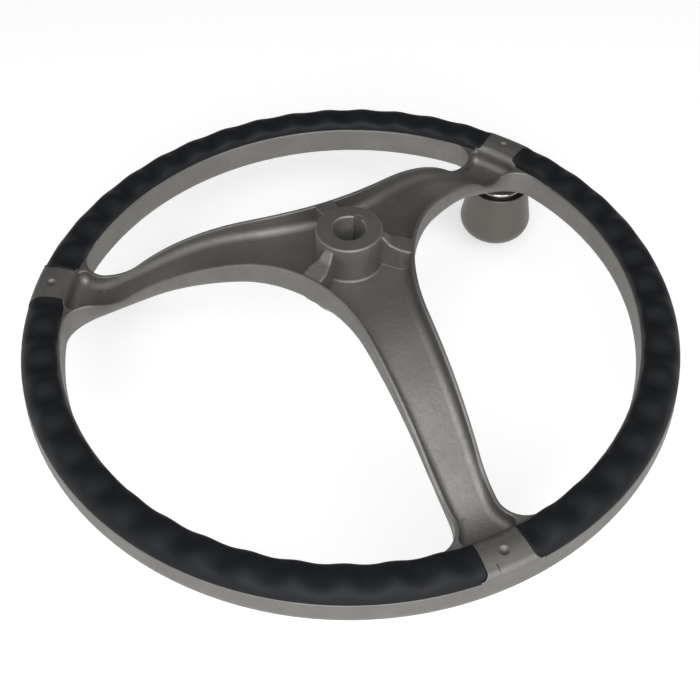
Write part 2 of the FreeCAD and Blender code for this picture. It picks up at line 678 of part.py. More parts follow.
# Holes: tapered shaft hole with its keyway, nut recess, knob stud, dimples
taper_length = "taper_ratio * 2 * (shaft_radius - shaft_land_radius)"
shaft_taper = cone("shaft_taper", "shaft_land_radius", "shaft_radius", "-" + taper_length, taper_length)
shaft_land = cylinder("shaft_land", "shaft_land_radius", "-hub_depth", "hub_depth")
shaft_mouth = cone("shaft_mouth", "shaft_radius", "shaft_radius + 2 * shaft_chamfer",
                   "-shaft_chamfer", "2 * shaft_chamfer")
nut_recess = cylinder("nut_recess", "nut_recess_radius", "-hub_depth - 1", "nut_recess_depth + 1")
keyway = doc.addObject("Part::Box", "keyway")
bind(keyway, Length="shaft_radius + key_depth", Width="key_width", Height="hub_depth + 2")
keyway.Placement = FreeCAD.Placement(
    turned(Vector(0, -size("key_width") / 2, -size("hub_depth") - 1), size("key_angle")),
    FreeCAD.Rotation(Z_AXIS, size("key_angle")))
stud_hole = cylinder("stud_hole", "stud_radius + stud_gap", knob_seat_level + " - 1",
                     "stud_length + stud_gap + 1", x=knob_axis)
rim_middle = "(rim_radius - (grip_inset_outer + rim_width - grip_inset_inner) / 2)"
dimples = []
for spoke in range(SPOKES):
    dimple = doc.addObject("Part::Sphere", "dimple_%d" % (spoke + 1))
    ball = "((dimple_radius ^ 2 + dimple_depth ^ 2) / (2 * dimple_depth))"
    bind(dimple, Radius=ball,
         Placement__Base__x="%s * cos(%g)" % (rim_middle, spoke * SPOKE_STEP),
         Placement__Base__y="%s * sin(%g)" % (rim_middle, spoke * SPOKE_STEP),
         Placement__Base__z="-seam_drop + saddle_height - dimple_depth + " + ball)
    dimples.append(dimple)
holes = boolean("MultiFuse", "holes", shaft_taper, shaft_land, shaft_mouth, keyway, nut_recess)
hollows = doc.addObject("Part::Compound", "hollows")
hollows.Links = [holes, stud_hole] + dimples + channels
wheel_casting = boolean("Cut", "wheel_casting", raw_casting, hollows)


# Finger grips: half-round strips with finger bumps, each on a tongue
def finger_grip(number):
    """One grip, lofted through a section in every valley and on every bump."""
    step = 2 * grip_half_angle / (2 * BUMPS_PER_GRIP + 1)
    reach = grip_half_angle + GRIP_OVERRUN_DEG
    sections = []
    angles = [-reach] + [step * (index - BUMPS_PER_GRIP) for index in range(2 * BUMPS_PER_GRIP + 1)]
    angles.append(reach)
    for index, angle in enumerate(angles):
        ends = index in (0, len(angles) - 1)
        high = not ends and (index - 1 - BUMPS_PER_GRIP) % 2 == 1
        section = grip_section(size("grip_height_high") if high else size("grip_height_low"))
        section.rotate(Vector(0, 0, 0), Z_AXIS, angle)
        sections.append(section)
    strip = Part.makeLoft(sections, True, False)
    strip = strip.common(grip_prism(grip_half_angle - gap_angle, size("grip_corner"), edge_room))
    tongue = ring_sector(grip_middle - size("tongue_width") / 2,
                         grip_middle + size("tongue_width") / 2,
                         seam - size("tongue_depth"), seam + 1,
                         2 - grip_half_angle + gap_angle, 2 * (grip_half_angle - 2 - gap_angle))
    whole = strip.fuse(tongue)
    whole.rotate(Vector(0, 0, 0), Z_AXIS, (number - 0.5) * SPOKE_STEP)
    return shape_object("finger_grip_%d" % number, whole)


grips = [finger_grip(number + 1) for number in range(SPOKES)]


# Turned pieces: a body with one revolved sketch, every corner tied to the sheet
def turned_piece(name, corners, x="0", z="0", pointing_down=False):
    """Revolve a closed profile of (radius, height) formulas about the piece's own axis."""
    body = doc.addObject("PartDesign::Body", name)
    sketch = body.newObject("Sketcher::SketchObject", name + "_profile")
    plane = [item for item in body.Origin.OriginFeatures if item.Role == "XZ_Plane"][0]
    sketch.AttachmentSupport = [(plane, "")]
    sketch.MapMode = "FlatFace"
    points = [Vector(value_of(radius), value_of(height), 0) for radius, height in corners]
    for index, point in enumerate(points):
        sketch.addGeometry(Part.LineSegment(point, points[(index + 1) % len(points)]), False)
    for index in range(len(points)):
        following = (index + 1) % len(points)
        sketch.addConstraint(Sketcher.Constraint("Coincident", index, 2, following, 1))
    for index, (radius, height) in enumerate(corners):
        place_corner(sketch, index, "DistanceX", points[index].x, radius)
        place_corner(sketch, index, "DistanceY", points[index].y, height)
    turning = body.newObject("PartDesign::Revolution", name + "_turning")
    turning.Profile = sketch
    turning.ReferenceAxis = (sketch, ["V_Axis"])
    turning.Angle = 360
    body.Tip = turning
    if pointing_down:
        body.Placement = FreeCAD.Placement(Vector(0, 0, 0), FreeCAD.Rotation(Vector(1, 0, 0), 180))
    bind(body, Placement__Base__x=x, Placement__Base__z=z)
    doc.recompute()
    return body


def place_corner(sketch, index, direction, place, formula):
    """Hold one corner of a profile at a formula's distance from the sketch's origin."""
    if abs(place) < SMALL:
        axis = -2 if direction == "DistanceX" else -1
        sketch.addConstraint(Sketcher.Constraint("PointOnObject", index, 1, axis))
        return
    number = sketch.addConstraint(Sketcher.Constraint(direction, -1, 1, index, 1, place))
    sketch.setExpression("Constraints[%d]" % number, with_sheet(formula))


def soften(body, name, circles, radius, kind="Fillet"):
    """Round or bevel the circular edges of a turned piece, picked by radius and height."""
    wanted = [(value_of(ring), value_of(height)) for ring, height in circles]
    before = body.Tip
    solid = before.Shape
    picked = []
    for number, edge in enumerate(solid.Edges, start=1):
        if edge.Curve.TypeId != "Part::GeomCircle":
            continue
        centre = edge.Curve.Center
        for ring, height in wanted:
            if abs(edge.Curve.Radius - ring) < SMALL and abs(centre.z - height) < SMALL:
                picked.append("Edge%d" % number)
    if len(picked) != len(wanted):
        raise RuntimeError("edges to soften not found on " + name)
    feature = body.newObject("PartDesign::" + kind, name)
    feature.Base = (before, picked)
    bind(feature, **{"Radius" if kind == "Fillet" else "Size": radius})
    body.Tip = feature
    doc.recompute()


# The knob: heights are measured from the cast seat, away from the wheel
knob_place = {"x": knob_axis, "z": knob_seat_level, "pointing_down": True}
knob_top = "dome_height + washer_thickness + washer_play"
pocket_floor = "(%s + knob_height - knob_pocket_depth)" % knob_top
knob_end = "(%s + knob_height)" % knob_top
bush_length = " (knob_height - knob_pocket_depth - bush_space) / 2"
journal_end = "(%s + bush_flange_thickness + nut_washer_play)" % pocket_floor
nut_seat = "(%s + nut_washer_thickness)" % journal_end
nut_end = "(%s + nut_height)" % nut_seat

knob_spindle = turned_piece("knob_spindle", [
    ("0", "-stud_length"),
    ("stud_radius", "-stud_length"),
    ("stud_radius", "0"),
    ("dome_neck", "0"),
    ("dome_radius", "dome_height - dome_edge"),
    ("dome_radius", "dome_height"),
    ("journal_radius", "dome_height"),
    ("journal_radius", journal_end),
    ("tip_radius", journal_end),
    ("tip_radius", nut_end + " + tip_past_nut"),
    ("0", nut_end + " + tip_past_nut"),
], **knob_place)
soften(knob_spindle, "spindle_dome", [("dome_radius", "dome_height - dome_edge")], "dome_round")

thrust_washer = turned_piece("thrust_washer", [
    ("journal_radius + journal_play", "dome_height"),
    ("washer_radius", "dome_height"),
    ("washer_radius", "dome_height + washer_thickness"),
    ("journal_radius + journal_play", "dome_height + washer_thickness"),
], **knob_place)

inner_bush = turned_piece("inner_bush", [
    ("journal_radius + journal_play", knob_top),
    ("bush_radius", knob_top),
    ("bush_radius", knob_top + " +" + bush_length),
    ("journal_radius + journal_play", knob_top + " +" + bush_length),
], **knob_place)

outer_bush = turned_piece("outer_bush", [
    ("journal_radius + journal_play", pocket_floor + " -" + bush_length),
    ("bush_radius", pocket_floor + " -" + bush_length),
    ("bush_radius", pocket_floor),
    ("bush_flange", pocket_floor),
    ("bush_flange", pocket_floor + " + bush_flange_thickness"),
    ("journal_radius + journal_play", pocket_floor + " + bush_flange_thickness"),
], **knob_place)

knob_shell = turned_piece("knob_shell", [
    ("bush_radius", knob_top),
    ("knob_top_radius", knob_top),
    ("knob_end_radius", knob_end),
    ("knob_pocket_radius", knob_end),
    ("knob_pocket_radius", pocket_floor),
    ("bush_radius", pocket_floor),
], **knob_place)
soften(knob_shell, "knob_end_rounding", [("knob_end_radius", knob_end)], "knob_end_round")
soften(knob_shell, "knob_top_rounding", [("knob_top_radius", knob_top)], "knob_top_round")

retaining_washer = turned_piece("retaining_washer", [
    ("tip_radius + journal_play", journal_end),
    ("nut_washer_radius", journal_end),
    ("nut_washer_radius", nut_seat),
    ("tip_radius + journal_play", nut_seat),
], **knob_place)

lock_nut_blank = doc.addObject("Part::Prism", "lock_nut_blank")
lock_nut_blank.Polygon = 6
bind(lock_nut_blank, Circumradius="nut_across_flats / sqrt(3)", Height="nut_height",
     Placement__Base__x=knob_axis, Placement__Base__z="%s - %s" % (knob_seat_level, nut_end))
lock_nut_crown = cone("lock_nut_crown", "nut_across_flats / 2", "nut_across_flats / 2 + nut_height",
                      "%s - %s" % (knob_seat_level, nut_end), "nut_height", x=knob_axis)
lock_nut_hole = cylinder("lock_nut_hole", "tip_radius", "%s - %s - 1" % (knob_seat_level, nut_end),
                         "nut_height + 2", x=knob_axis)
lock_nut_body = boolean("Common", "lock_nut_body", lock_nut_blank, lock_nut_crown)
lock_nut = boolean("Cut", "lock_nut", lock_nut_body, lock_nut_hole)

knob_end_cap = turned_piece("knob_end_cap", [
    ("0", knob_end + " - cap_thickness"),
    ("knob_pocket_radius", knob_end + " - cap_thickness"),
    ("knob_pocket_radius", knob_end),
    ("0", knob_end),
], **knob_place)
soften(knob_end_cap, "cap_bevel", [("knob_pocket_radius", knob_end)], "cap_edge", "Chamfer")

# Hub cap: heights are measured from the front of the hub, away from the wheel
hub_place = {"z": "-hub_depth", "pointing_down": True}
spigot = "(nut_recess_radius - hub_cap_gap)"
groove_low = "(-hub_ring_drop - hub_ring_radius)"
groove_high = "(-hub_ring_drop + hub_ring_radius)"
groove_floor = "(nut_recess_radius - 2 * hub_ring_radius)"
hub_cap = turned_piece("hub_cap", [
    ("0", "0"),
    (spigot + " - hub_cap_wall", "0"),
    (spigot + " - hub_cap_wall", "-hub_cap_spigot"),
    (spigot, "-hub_cap_spigot"),
    (spigot, groove_low),
    (groove_floor, groove_low),
    (groove_floor, groove_high),
    (spigot, groove_high),
    (spigot, "0"),
    ("hub_cap_radius", "0"),
    ("hub_cap_radius", "hub_cap_edge"),
    ("hub_cap_flat", "hub_cap_dome"),
    ("0", "hub_cap_dome"),
], **hub_place)

hub_cap_ring = doc.addObject("Part::Torus", "hub_cap_ring")
bind(hub_cap_ring, Radius1="nut_recess_radius - hub_ring_radius", Radius2="hub_ring_radius",
     Placement__Base__z="-hub_depth + hub_ring_drop")

PIECES = [wheel_casting, *grips, knob_spindle, thrust_washer, inner_bush, outer_bush, knob_shell,
          retaining_washer, lock_nut, knob_end_cap, hub_cap, hub_cap_ring]

doc.recompute()
for item in doc.Objects:
    if "Invalid" in item.State or "Error" in item.State:
        raise RuntimeError("failed feature: " + item.Label)

os.makedirs("parts", exist_ok=True)
for piece in PIECES:
    solid = piece.Shape
    if solid.isNull() or not solid.isValid() or len(solid.Solids) != 1:
        raise RuntimeError("bad shape: " + piece.Label)
    piece.Label = piece.Name
    solid.exportStep("parts/%s.step" % piece.Label)
    print("%-18s %10.1f mm3" % (piece.Label, solid.Volume))
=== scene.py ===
"""Looks of the boat steering wheel: materials, moulded grips, camera, lamps and floor.

Everything is in metres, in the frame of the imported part: +Z out of the back of the hub,
the knob's spoke along +X. An azimuth is an angle about the wheel's axis, from +X.
"""
import bmesh
import bpy
import json
import math
from mathutils import Matrix, Vector


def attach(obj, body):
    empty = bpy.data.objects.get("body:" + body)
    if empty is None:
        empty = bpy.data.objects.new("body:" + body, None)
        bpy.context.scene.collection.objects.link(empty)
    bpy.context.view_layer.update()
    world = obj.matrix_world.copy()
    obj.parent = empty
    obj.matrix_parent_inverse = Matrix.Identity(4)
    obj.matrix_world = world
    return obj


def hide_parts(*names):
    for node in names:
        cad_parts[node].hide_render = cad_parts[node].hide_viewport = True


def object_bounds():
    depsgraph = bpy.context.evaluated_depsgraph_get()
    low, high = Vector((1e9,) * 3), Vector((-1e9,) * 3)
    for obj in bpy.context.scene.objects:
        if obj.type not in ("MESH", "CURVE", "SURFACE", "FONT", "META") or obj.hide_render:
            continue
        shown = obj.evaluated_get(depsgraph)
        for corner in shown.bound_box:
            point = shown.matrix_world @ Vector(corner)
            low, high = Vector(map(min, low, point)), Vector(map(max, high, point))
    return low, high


MM = 0.001

# Level of the seam on which the grips stand
SEAM_HEIGHT = -0.065

# Camera, solved from the rim, the grip seam and the knob in the photograph. Its distance
# and angles are from the middle of the seam's circle.
FRAME_PX = 700
FOCAL_PX = 1001.4
SENSOR_MM = 36.0
CAMERA_DISTANCE = 0.60765
CAMERA_AZIMUTH = math.radians(216.134)
CAMERA_ELEVATION = math.radians(47.136)
CAMERA_ROLL = math.radians(0.705)
CAMERA_NEAREST = 10 * MM
AIM = Vector((-0.02755, -0.01979, SEAM_HEIGHT))

# Lamps: square soft boxes, all at one distance from the middle of the hub's back face
LAMP_DISTANCE = 1.8
LAMP_SIZE = 1.2
SMALL_LAMP_SIZE = 1.0
WORLD_STRENGTH = 0.03

# Floor, and the low round backdrop at its edge
FLOOR_GAP = 10 * MM
FLOOR_SHADE = 0.55
FLOOR_GLOW = 0.6
BACKDROP_RADIUS = 12.0
BACKDROP_HEIGHT = 2.6
BACKDROP_SIDES = 96

# Casting: the shading rounds its edges, and its grain is strong on the webs only,
# which lie between these distances from the axis
EDGE_ROUND = 0.9 * MM
WEB_INNER = 20 * MM
WEB_OUTER = 172 * MM
WEB_INNER_FADE = 2 * MM
WEB_OUTER_FADE = 8 * MM
WEB_GRAIN = 0.6
SMOOTH_GRAIN = 0.2

# Casting: the shaft hole and keyway are machined and painted lighter, as painted light
# inside the hole; they lie within this distance from the axis and below this height
BORE_EDGE = 12.6 * MM
BORE_MOUTH = -0.3 * MM

# Casting: hairline mark on the saddle nearest the camera
MARK_AZIMUTH = math.radians(237.9)
MARK_START = 189.8 * MM
MARK_END = 193.5 * MM
MARK_WIDTH = 0.65 * MM

# Grips: their plan, wall and crown and the places of their finger bumps are the solids'
GRIPS = 3
GRIP_STEP = 2 * math.pi / GRIPS
GRIP_INNER = 174.1 * MM
GRIP_OUTER = 195.15 * MM
GRIP_MIDDLE = (GRIP_INNER + GRIP_OUTER) / 2
GRIP_HALF_WIDTH = (GRIP_OUTER - GRIP_INNER) / 2
GRIP_HALF_ANGLE = math.radians(55.967)
GRIP_CORNER = 3.2 * MM
GRIP_WALL = 0.6 * MM
GRIP_CROWN = 7.5 * MM
SADDLE_HALF_ANGLE = math.radians(4)
BUMPS = 14
BUMP_STEP = 2 * (GRIP_STEP - 2 * SADDLE_HALF_ANGLE) / (2 * BUMPS + 1)

# Grips: hollows between the bumps, and the inner shoulder, which leans out over the rim
# and does so less at the hollows. A place across a grip counts from its middle, and is
# less than 0 towards the axis.
HOLLOW_DEPTH = 2.6 * MM
HOLLOW_PLACE = -0.3 * MM
HOLLOW_REACH = 10.0 * MM
SHOULDER_HEIGHT = 0.8 * MM
SHOULDER_OVERHANG = 2.4 * MM
SHOULDER_PLACE = -8.5 * MM
SHOULDER_REACH = 3.5 * MM
HOLLOW_OVERHANG_SHARE = 0.75
GRIP_END_ROUND = 0.9 * MM

# Grips: how finely their meshes are divided, and which edges stay sharp
GRIP_ROWS = 300
GRIP_END_ROWS = 6
GRIP_COLUMNS = 32
GRIP_SHARP_EDGE = math.radians(40)

# Grips: the tongue that sits in the rim's channel
TONGUE_HALF_WIDTH = 6.0 * MM
TONGUE_DEPTH = 12.0 * MM
TONGUE_HALF_ANGLE = math.radians(53.9)
TONGUE_ROWS = 60

# Places of the colour sockets on a Mix node
MIX_FACTOR = 0
MIX_FIRST = 6
MIX_SECOND = 7
MIX_RESULT = 2

# Range in which most of a noise's values lie
NOISE_LOW = 0.3
NOISE_HIGH = 0.7


class Nodes:
    """Builds one material's node tree with short calls."""

    def __init__(self, name):
        self.material = bpy.data.materials.new(name)
        self.material.use_nodes = True
        self.tree = self.material.node_tree
        self.tree.nodes.clear()
        self.output = self.tree.nodes.new("ShaderNodeOutputMaterial")

    def add(self, kind, **settings):
        node = self.tree.nodes.new("ShaderNode" + kind)
        for key, value in settings.items():
            setattr(node, key, value)
        return node

    def link(self, source, target):
        self.tree.links.new(source, target)

    def feed(self, socket, value):
        """Set a socket to a constant, or link it."""
        if isinstance(value, bpy.types.NodeSocket):
            self.link(value, socket)
        else:
            socket.default_value = value

    def coordinates(self):
        return self.add("TexCoord").outputs["Object"]

    def noise(self, vector, size, detail=3.0, stretch=(1, 1, 1)):
        """Noise whose largest features are about the given size in metres."""
        mapping = self.add("Mapping")
        mapping.inputs["Scale"].default_value = stretch
        self.link(vector, mapping.inputs["Vector"])
        noise = self.add("TexNoise")
        noise.inputs["Scale"].default_value = 1 / size
        noise.inputs["Detail"].default_value = detail
        noise.inputs["Roughness"].default_value = 0.55
        self.link(mapping.outputs["Vector"], noise.inputs["Vector"])
        return noise.outputs["Fac"]

    def remap(self, value, low, high, out_low, out_high):
        """Stretch a value's range onto another, and hold it there."""
        node = self.add("MapRange")
        node.inputs["From Min"].default_value = low
        node.inputs["From Max"].default_value = high
        node.inputs["To Min"].default_value = out_low
        node.inputs["To Max"].default_value = out_high
        self.link(value, node.inputs["Value"])
        return node.outputs["Result"]

    def vary(self, noise, low, high):
        """A value that follows a noise between two limits."""
        return self.remap(noise, NOISE_LOW, NOISE_HIGH, low, high)

    def math(self, operation, first, second, clamp=False):
        node = self.add("Math", operation=operation, use_clamp=clamp)
        self.feed(node.inputs[0], first)
        self.feed(node.inputs[1], second)
        return node.outputs["Value"]

    def vector(self, operation, first, second=None, output="Vector"):
        node = self.add("VectorMath", operation=operation)
        self.feed(node.inputs[0], first)
        if second is not None:
            self.feed(node.inputs["Scale" if operation == "SCALE" else 1], second)
        return node.outputs[output]

    def mix_colour(self, amount, first, second):
        node = self.add("Mix", data_type="RGBA")
        self.feed(node.inputs[MIX_FACTOR], amount)
        self.feed(node.inputs[MIX_FIRST], first)
        self.feed(node.inputs[MIX_SECOND], second)
        return node.outputs[MIX_RESULT]

    def soft_edges(self, radius):
        """Surface direction with sharp edges shaded as if they were round."""
        node = self.add("Bevel", samples=4)
        node.inputs["Radius"].default_value = radius
        return node.outputs["Normal"]

    def bump(self, height, depth, strength, normal=None):
        node = self.add("Bump")
        node.inputs["Distance"].default_value = depth
        self.feed(node.inputs["Strength"], strength)
        self.link(height, node.inputs["Height"])
        if normal is not None:
            self.link(normal, node.inputs["Normal"])
        return node.outputs["Normal"]

    def surface(self, **inputs):
        shader = self.add("BsdfPrincipled")
        for name, value in inputs.items():
            self.feed(shader.inputs[name.replace("_", " ")], value)
        self.link(shader.outputs["BSDF"], self.output.inputs["Surface"])
        return self.material


def colour(red, green, blue):
    """Linear colour of an sRGB triple given in 0 to 255."""
    def linear(value):
        value /= 255
        return value / 12.92 if value <= 0.04045 else ((value + 0.055) / 1.055) ** 2.4
    return (linear(red), linear(green), linear(blue), 1.0)


def along_line(nodes, place, start, end, width):
    """1 on a line between two points, falling to 0 at half the width from it."""
    along = end - start
    offset = nodes.vector("SUBTRACT", place, start)
    share = nodes.math("DIVIDE", nodes.vector("DOT_PRODUCT", offset, along, "Value"),
                       along.length_squared, clamp=True)
    distance = nodes.vector("DISTANCE", offset, nodes.vector("SCALE", along, share), "Value")
    fade_start = 0.15 * width
    fade_end = 0.5 * width
    return nodes.remap(distance, fade_start, fade_end, 1, 0)


def grain_strength(nodes, from_axis):
    """How strongly the casting's grain shows at a distance from the axis."""
    near_hub = nodes.remap(from_axis, WEB_INNER, WEB_INNER + WEB_INNER_FADE,
                           SMOOTH_GRAIN, WEB_GRAIN)
    near_rim = nodes.remap(from_axis, WEB_OUTER - WEB_OUTER_FADE, WEB_OUTER,
                           WEB_GRAIN, SMOOTH_GRAIN)
    return nodes.math("MINIMUM", near_hub, near_rim)


def cast_steel():
    """Bead-blasted cast steel: satin, finely grained, with a machined shaft hole painted lighter
    as painted light inside it.
    """
    nodes = Nodes("blasted_steel")
    place = nodes.coordinates()
    grain = nodes.noise(place, size=1.3 * MM, detail=2)
    skin = nodes.noise(place, size=4.0 * MM, detail=4)
    clouds = nodes.noise(place, size=28 * MM)
    level_place = nodes.vector("MULTIPLY", place, (1, 1, 0))
    from_axis = nodes.vector("LENGTH", level_place, output="Value")
    height = nodes.vector("DOT_PRODUCT", place, (0, 0, 1), "Value")

    cloudy = nodes.remap(clouds, low=0.35, high=0.65, out_low=0, out_high=1)
    tint = nodes.mix_colour(cloudy, colour(127, 125, 122), colour(134, 132, 129))
    # Machined shaft hole and keyway, painted lighter as painted light inside the hole
    machined_lit_bore = nodes.math("MULTIPLY", nodes.math("LESS_THAN", from_axis, BORE_EDGE),
                          nodes.math("LESS_THAN", height, BORE_MOUTH))
    tint = nodes.mix_colour(machined_lit_bore, tint, colour(158, 156, 151))
    outward = Vector((math.cos(MARK_AZIMUTH), math.sin(MARK_AZIMUTH), 0))
    line = along_line(nodes, level_place, outward * MARK_START, outward * MARK_END, MARK_WIDTH)
    mark = nodes.math("MULTIPLY", line, nodes.math("GREATER_THAN", height, SEAM_HEIGHT))
    tint = nodes.mix_colour(mark, tint, colour(22, 21, 20))

    rough = nodes.vary(skin, 0.59, 0.67)
    edges = nodes.soft_edges(EDGE_ROUND)
    relief = nodes.bump(skin, depth=0.22 * MM, strength=0.5, normal=edges)
    relief = nodes.bump(grain, depth=0.28 * MM, strength=grain_strength(nodes, from_axis),
                        normal=relief)
    return nodes.surface(Base_Color=tint, Metallic=1.0, Roughness=rough, Normal=relief)


def grip_rubber():
    """Moulded near-black rubber with a soft sheen."""
    nodes = Nodes("grip_rubber")
    place = nodes.coordinates()
    grain = nodes.noise(place, size=0.5 * MM, detail=2)
    skin = nodes.noise(place, size=6 * MM, detail=4)
    clouds = nodes.noise(place, size=12 * MM)
    tint = nodes.mix_colour(clouds, colour(15, 17, 20), colour(21, 23, 27))
    rough = nodes.vary(clouds, 0.54, 0.62)
    relief = nodes.bump(skin, depth=0.5 * MM, strength=0.5)
    relief = nodes.bump(grain, depth=0.03 * MM, strength=0.5, normal=relief)
    return nodes.surface(Base_Color=tint, Roughness=rough, Normal=relief,
                         Specular_IOR_Level=0.24)


def turned_steel(name, low, high, roughness):
    """Turned steel with fine circular tool marks, one above another along Z."""
    nodes = Nodes(name)
    place = nodes.coordinates()
    marks = nodes.noise(place, size=0.35 * MM, detail=2, stretch=(0.02, 0.02, 1.0))
    clouds = nodes.noise(place, size=15 * MM)
    tint = nodes.mix_colour(clouds, colour(*low), colour(*high))
    spread = 0.04
    rough = nodes.vary(marks, roughness - spread, roughness + spread)
    relief = nodes.bump(marks, depth=0.02 * MM, strength=0.5)
    return nodes.surface(Base_Color=tint, Metallic=1.0, Roughness=rough, Normal=relief)


def plain_plastic(name, low, high):
    """Smooth plastic or rubber with a faint mottle."""
    nodes = Nodes(name)
    clouds = nodes.noise(nodes.coordinates(), size=3 * MM)
    tint = nodes.mix_colour(clouds, colour(*low), colour(*high))
    relief = nodes.bump(clouds, depth=0.02 * MM, strength=0.4)
    return nodes.surface(Base_Color=tint, Roughness=0.45, Normal=relief)


def make_materials():
    """The material of each slot in the record."""
    return {
        "cast_steel": cast_steel(),
        "grip": grip_rubber(),
        "knob_steel": turned_steel("satin_steel", (103, 99, 95), (110, 106, 101), 0.42),
        "polished_steel": turned_steel("polished_steel", (168, 165, 160), (180, 177, 172), 0.16),
        "washer": plain_plastic("washer_plastic", (16, 16, 17), (24, 24, 25)),
        "bush": plain_plastic("bush_plastic", (200, 196, 186), (212, 208, 198)),
        "seal": plain_plastic("seal_rubber", (14, 14, 15), (22, 22, 23)),
    }


def dress(frame, materials):
    """Give every CAD node the material of its slot."""
    for part in frame["record"]["subparts"]:
        node = frame["nodes"][part["node"]]
        node.data.materials.clear()
        node.data.materials.append(materials[part["material_slot"]])


def valley_share(azimuth):
    """0 on a finger bump and 1 between two bumps."""
    return 0.5 + 0.5 * math.cos(2 * math.pi * azimuth / BUMP_STEP)


def hill(across, middle, reach):
    """Share of a smooth hill at a place across a grip, lower near its edges and 0 at them."""
    edge = max(0, 1 - (across / GRIP_HALF_WIDTH) ** 2)
    return math.sqrt(edge) * math.exp(-((across - middle) / reach) ** 2)


def grip_height(across, azimuth, from_end):
    """Height of a grip's top above the seam, with its end edges rounded."""
    rise = GRIP_CROWN - GRIP_WALL
    radius = (GRIP_HALF_WIDTH ** 2 + rise ** 2) / (2 * rise)
    height = GRIP_WALL + math.sqrt(radius ** 2 - across ** 2) - (radius - rise)
    valley = valley_share(azimuth)
    height -= HOLLOW_DEPTH * valley * hill(across, HOLLOW_PLACE, HOLLOW_REACH)
    height += SHOULDER_HEIGHT * (1 - valley) * hill(across, SHOULDER_PLACE, SHOULDER_REACH)
    inside = GRIP_END_ROUND - min(from_end, GRIP_END_ROUND)
    return height - (GRIP_END_ROUND - math.sqrt(GRIP_END_ROUND ** 2 - inside ** 2))


def overhang(across, azimuth):
    """How far a grip's inner shoulder leans out past its foot, most on the bumps."""
    share = 1 - (1 - HOLLOW_OVERHANG_SHARE) * valley_share(azimuth)
    return SHOULDER_OVERHANG * share * hill(across, SHOULDER_PLACE, SHOULDER_REACH)


def grip_end(across):
    """Azimuth of a grip's end from its middle: less near the rounded corners of its plan."""
    from_side = min(GRIP_HALF_WIDTH - abs(across), GRIP_CORNER)
    inside = GRIP_CORNER - from_side
    recess = GRIP_CORNER - math.sqrt(GRIP_CORNER ** 2 - inside ** 2)
    return GRIP_HALF_ANGLE - recess / (GRIP_MIDDLE + across)


def polar(radius, azimuth, height):
    return (radius * math.cos(azimuth), radius * math.sin(azimuth), height)


def row_places():
    """Rows along a grip, each with its distance from the ends and its share of the way along.

    The shares run from -1 to 1, and the rows over the rounded end edges stay at -1 or 1.
    """
    close = [GRIP_END_ROUND * (1 - math.cos(math.pi / 2 * row / GRIP_END_ROWS))
             for row in range(GRIP_END_ROWS)]
    places = [(distance, -1) for distance in close]
    places += [(GRIP_END_ROUND, 2 * row / GRIP_ROWS - 1) for row in range(GRIP_ROWS + 1)]
    places += [(distance, 1) for distance in reversed(close)]
    return places


def strip_places(middle):
    """Rows of places over a grip's top, and of their feet on the seam."""
    columns = [GRIP_HALF_WIDTH * math.sin(math.pi / 2 * (2 * column / GRIP_COLUMNS - 1))
               for column in range(GRIP_COLUMNS + 1)]
    tops = []
    feet = []
    for distance, share in row_places():
        top_row = []
        foot_row = []
        for across in columns:
            radius = GRIP_MIDDLE + across
            azimuth = (grip_end(across) - distance / radius) * share
            height = grip_height(across, azimuth, (grip_end(across) - abs(azimuth)) * radius)
            top_row.append(polar(radius - overhang(across, azimuth), middle + azimuth,
                                 SEAM_HEIGHT + height))
            foot_row.append(polar(radius, middle + azimuth, SEAM_HEIGHT))
        tops.append(top_row)
        feet.append(foot_row)
    return tops, feet


def add_strip(mesh, middle):
    """The strip of a grip that shows, closed at its sides, ends and underside."""
    tops, feet = strip_places(middle)
    last = len(tops) - 1
    tops = [[mesh.verts.new(place) for place in row] for row in tops]
    end_feet = {row: [mesh.verts.new(place) for place in feet[row]] for row in (0, last)}
    side_feet = []
    for row in range(last + 1):
        if row in end_feet:
            side_feet.append((end_feet[row][0], end_feet[row][-1]))
        else:
            side_feet.append((mesh.verts.new(feet[row][0]), mesh.verts.new(feet[row][-1])))

    for row in range(last):
        for column in range(GRIP_COLUMNS):
            mesh.faces.new((tops[row][column], tops[row][column + 1],
                            tops[row + 1][column + 1], tops[row + 1][column]))
        inner, outer = side_feet[row]
        next_inner, next_outer = side_feet[row + 1]
        mesh.faces.new((tops[row][0], tops[row + 1][0], next_inner, inner))
        mesh.faces.new((tops[row + 1][-1], tops[row][-1], outer, next_outer))
        if 0 < row < last - 1:
            mesh.faces.new((inner, next_inner, next_outer, outer))

    for row, beside in ((0, 1), (last, last - 1)):
        mesh.faces.new(end_feet[row] + [side_feet[beside][1], side_feet[beside][0]])
        for column in range(GRIP_COLUMNS):
            mesh.faces.new((tops[row][column], end_feet[row][column],
                            end_feet[row][column + 1], tops[row][column + 1]))


def add_tongue(mesh, middle):
    """The strip under a grip that sits in the rim's channel."""
    rows = []
    for row in range(TONGUE_ROWS + 1):
        azimuth = middle + TONGUE_HALF_ANGLE * (2 * row / TONGUE_ROWS - 1)
        rows.append([mesh.verts.new(polar(GRIP_MIDDLE + side * TONGUE_HALF_WIDTH, azimuth,
                                          SEAM_HEIGHT + height))
                     for side, height in ((-1, -TONGUE_DEPTH), (1, -TONGUE_DEPTH),
                                          (1, GRIP_WALL), (-1, GRIP_WALL))])
    for first, second in zip(rows, rows[1:]):
        for corner in range(4):
            beside = (corner + 1) % 4
            mesh.faces.new((first[corner], first[beside], second[beside], second[corner]))
    mesh.faces.new(rows[0])
    mesh.faces.new(rows[-1])


def to_object(mesh, name):
    """Turn a finished bmesh into an object of the scene."""
    data = bpy.data.meshes.new(name)
    mesh.to_mesh(data)
    mesh.free()
    made = bpy.data.objects.new(name, data)
    bpy.context.scene.collection.objects.link(made)
    return made


